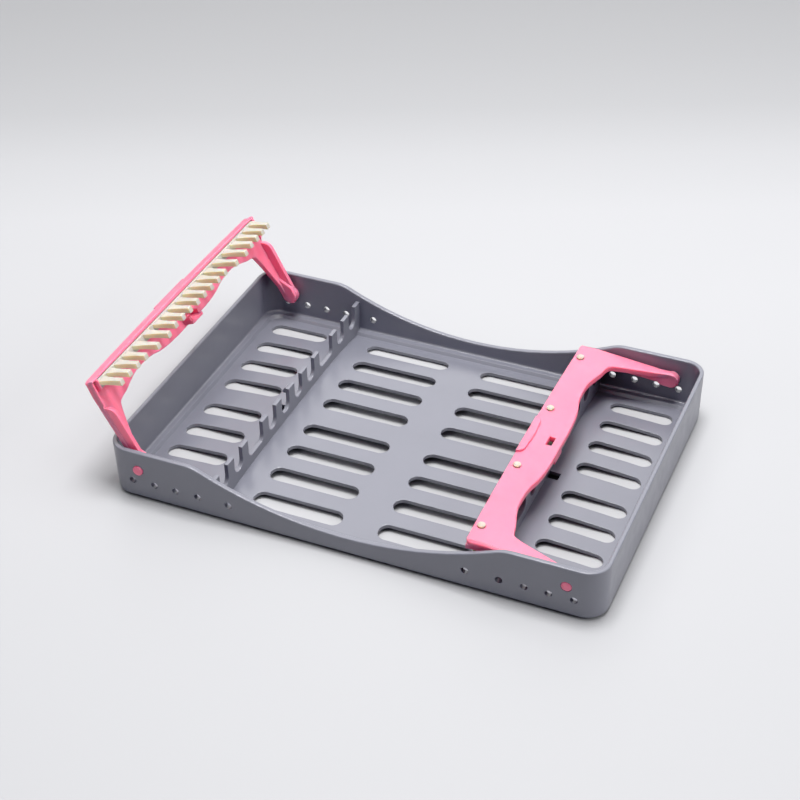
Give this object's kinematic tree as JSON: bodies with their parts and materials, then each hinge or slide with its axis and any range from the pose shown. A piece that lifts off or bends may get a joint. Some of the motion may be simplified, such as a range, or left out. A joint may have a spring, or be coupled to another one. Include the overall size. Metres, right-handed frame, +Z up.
{
  "type": "dental instrument cassette",
  "caption": "Shallow slotted plastic tray with two hinged clamp frames, each carrying a toothed rubber comb that holds slim instruments in notched ribs.",
  "frame": {"origin": "on the table, under the middle of the whole object's bounding box with the left clamp open and the right clamp closed", "axes": "+X along the tray's long side from the open clamp to the closed clamp, +Y from the near long wall to the far long wall, +Z up"},
  "size_m": [0.2137, 0.1432, 0.053],
  "materials": {
    "grey_plastic": "fine satin moulding",
    "pink_plastic": "satin moulding",
    "cream_rubber": "matt silicone"
  },
  "bodies": {
    "tray": {"tray": "grey_plastic"},
    "left_clamp": {"left_clamp_frame": "pink_plastic", "left_comb": "cream_rubber"},
    "right_clamp": {"right_clamp_frame": "pink_plastic", "right_comb": "cream_rubber"}
  },
  "joints": [
    {"name": "left_clamp_hinge", "type": "hinge", "parent": "tray", "child": "left_clamp", "pos_m": [-0.08394, 0, 0.0147], "axis": [0, 1, 0], "range_deg": [0, 113]},
    {"name": "right_clamp_hinge", "type": "hinge", "parent": "tray", "child": "right_clamp", "pos_m": [0.09266, 0, 0.0147], "axis": [0, 1, 0], "range_deg": [0, 113]}
  ]
}
